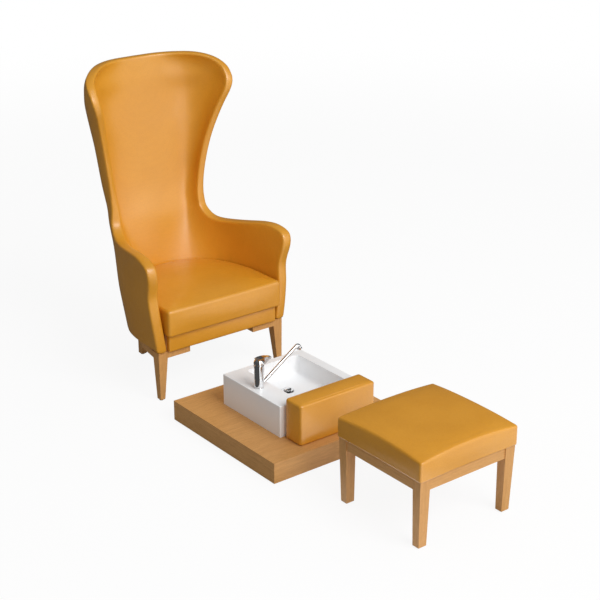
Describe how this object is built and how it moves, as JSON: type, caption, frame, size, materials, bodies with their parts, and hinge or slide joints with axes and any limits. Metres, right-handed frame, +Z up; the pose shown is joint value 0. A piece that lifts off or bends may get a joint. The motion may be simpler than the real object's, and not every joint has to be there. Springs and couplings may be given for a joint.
{
  "type": "pedicure bench",
  "caption": "Pedicure set: high-backed wing armchair, foot basin with swivel mixer tap and footrest pad on a low wooden plinth, and an upholstered attendant's stool.",
  "frame": {"origin": "on the floor, at the middle of the whole set's bounding box as pictured: stool in front, plinth in the middle, chair behind", "axes": "+Z up, -Y the way the chair faces, +X the chair's left-hand side as seen from the stool's side on the right; x = 0 is the chair's middle plane"},
  "size_m": [0.8317, 2.4628, 1.4905],
  "materials": {
    "leather": "smooth, semi-gloss amber",
    "oak": "satin, straight grain",
    "frame_wood": "raw plywood and softwood",
    "webbing": "woven",
    "black_cloth": "non-woven, matte",
    "zinc_steel": "zinc plated",
    "black_plastic": "matte",
    "white_plastic": "matte",
    "white_ceramic": "gloss glaze",
    "chrome": "polished",
    "brass": "plain",
    "black_rubber": "matte"
  },
  "bodies": {
    "plinth": {"plinth_top": "oak", "plinth_panel_front": "oak", "plinth_panel_rear": "oak", "plinth_panel_left": "oak", "plinth_panel_right": "oak", "plinth_side_battens": "frame_wood", "plinth_cross_battens": "frame_wood", "plinth_pads": "black_plastic", "basin": "white_ceramic", "waste_flange": "chrome", "waste_nut": "brass", "waste_tail": "chrome", "waste_trap": "white_plastic", "waste_pipe": "white_plastic", "tap_base_ring": "chrome", "tap_body": "chrome", "tap_seals": "black_rubber", "tap_cartridge": "white_plastic", "tap_cartridge_nut": "brass", "tap_backnut": "brass", "supply_tails": "chrome", "supply_inlets": "brass", "footrest_pad": "leather", "footrest_board": "frame_wood"},
    "spout": {"spout": "chrome", "spout_aerator": "chrome"},
    "mixer": {"mixer_head": "chrome"},
    "lever": {"mixer_lever": "chrome", "lever_pin": "zinc_steel"},
    "plug": {"waste_plug": "chrome"},
    "chair": {"chair_shell": "leather", "seat_cushion": "leather", "seat_front_cover": "leather", "seat_frame": "frame_wood", "seat_webbing": "webbing", "dust_cover": "black_cloth", "chair_front_leg_left": "oak", "chair_front_leg_right": "oak", "chair_rear_leg_left": "oak", "chair_rear_leg_right": "oak", "chair_front_blocks": "oak", "chair_side_blocks": "oak", "chair_rear_rail": "oak", "chair_bolts": "zinc_steel", "chair_glides": "black_plastic"},
    "stool": {"stool_cushion": "leather", "stool_seat_board": "frame_wood", "stool_leg_front_left": "oak", "stool_leg_front_right": "oak", "stool_leg_rear_left": "oak", "stool_leg_rear_right": "oak", "stool_apron_front": "oak", "stool_apron_rear": "oak", "stool_apron_left": "oak", "stool_apron_right": "oak", "stool_corner_blocks": "frame_wood", "stool_screws": "zinc_steel", "stool_glides": "black_plastic"}
  },
  "joints": [
    {"name": "spout_swivel", "type": "hinge", "parent": "plinth", "child": "spout", "pos_m": [-0.209, -0.078, 0.276], "axis": [0, 0, 1], "range_deg": [-60, 60]},
    {"name": "lever_turn", "type": "hinge", "parent": "plinth", "child": "mixer", "pos_m": [-0.209, -0.078, 0.358], "axis": [0, 0, 1], "range_deg": [-45, 45]},
    {"name": "lever_lift", "type": "hinge", "parent": "mixer", "child": "lever", "pos_m": [-0.209, -0.078, 0.368], "axis": [0, -1, 0], "range_deg": [0, 20]},
    {"name": "plug_press", "type": "slide", "parent": "plinth", "child": "plug", "axis": [0, 0, 1], "range_m": [-0.006, 0]},
    {"name": "chair_slide", "type": "slide", "parent": "plinth", "child": "chair", "axis": [0, 1, 0], "range_m": [-0.15, 0.3]},
    {"name": "stool_slide", "type": "slide", "parent": "plinth", "child": "stool", "axis": [0, 1, 0], "range_m": [-0.3, 0.25]}
  ]
}
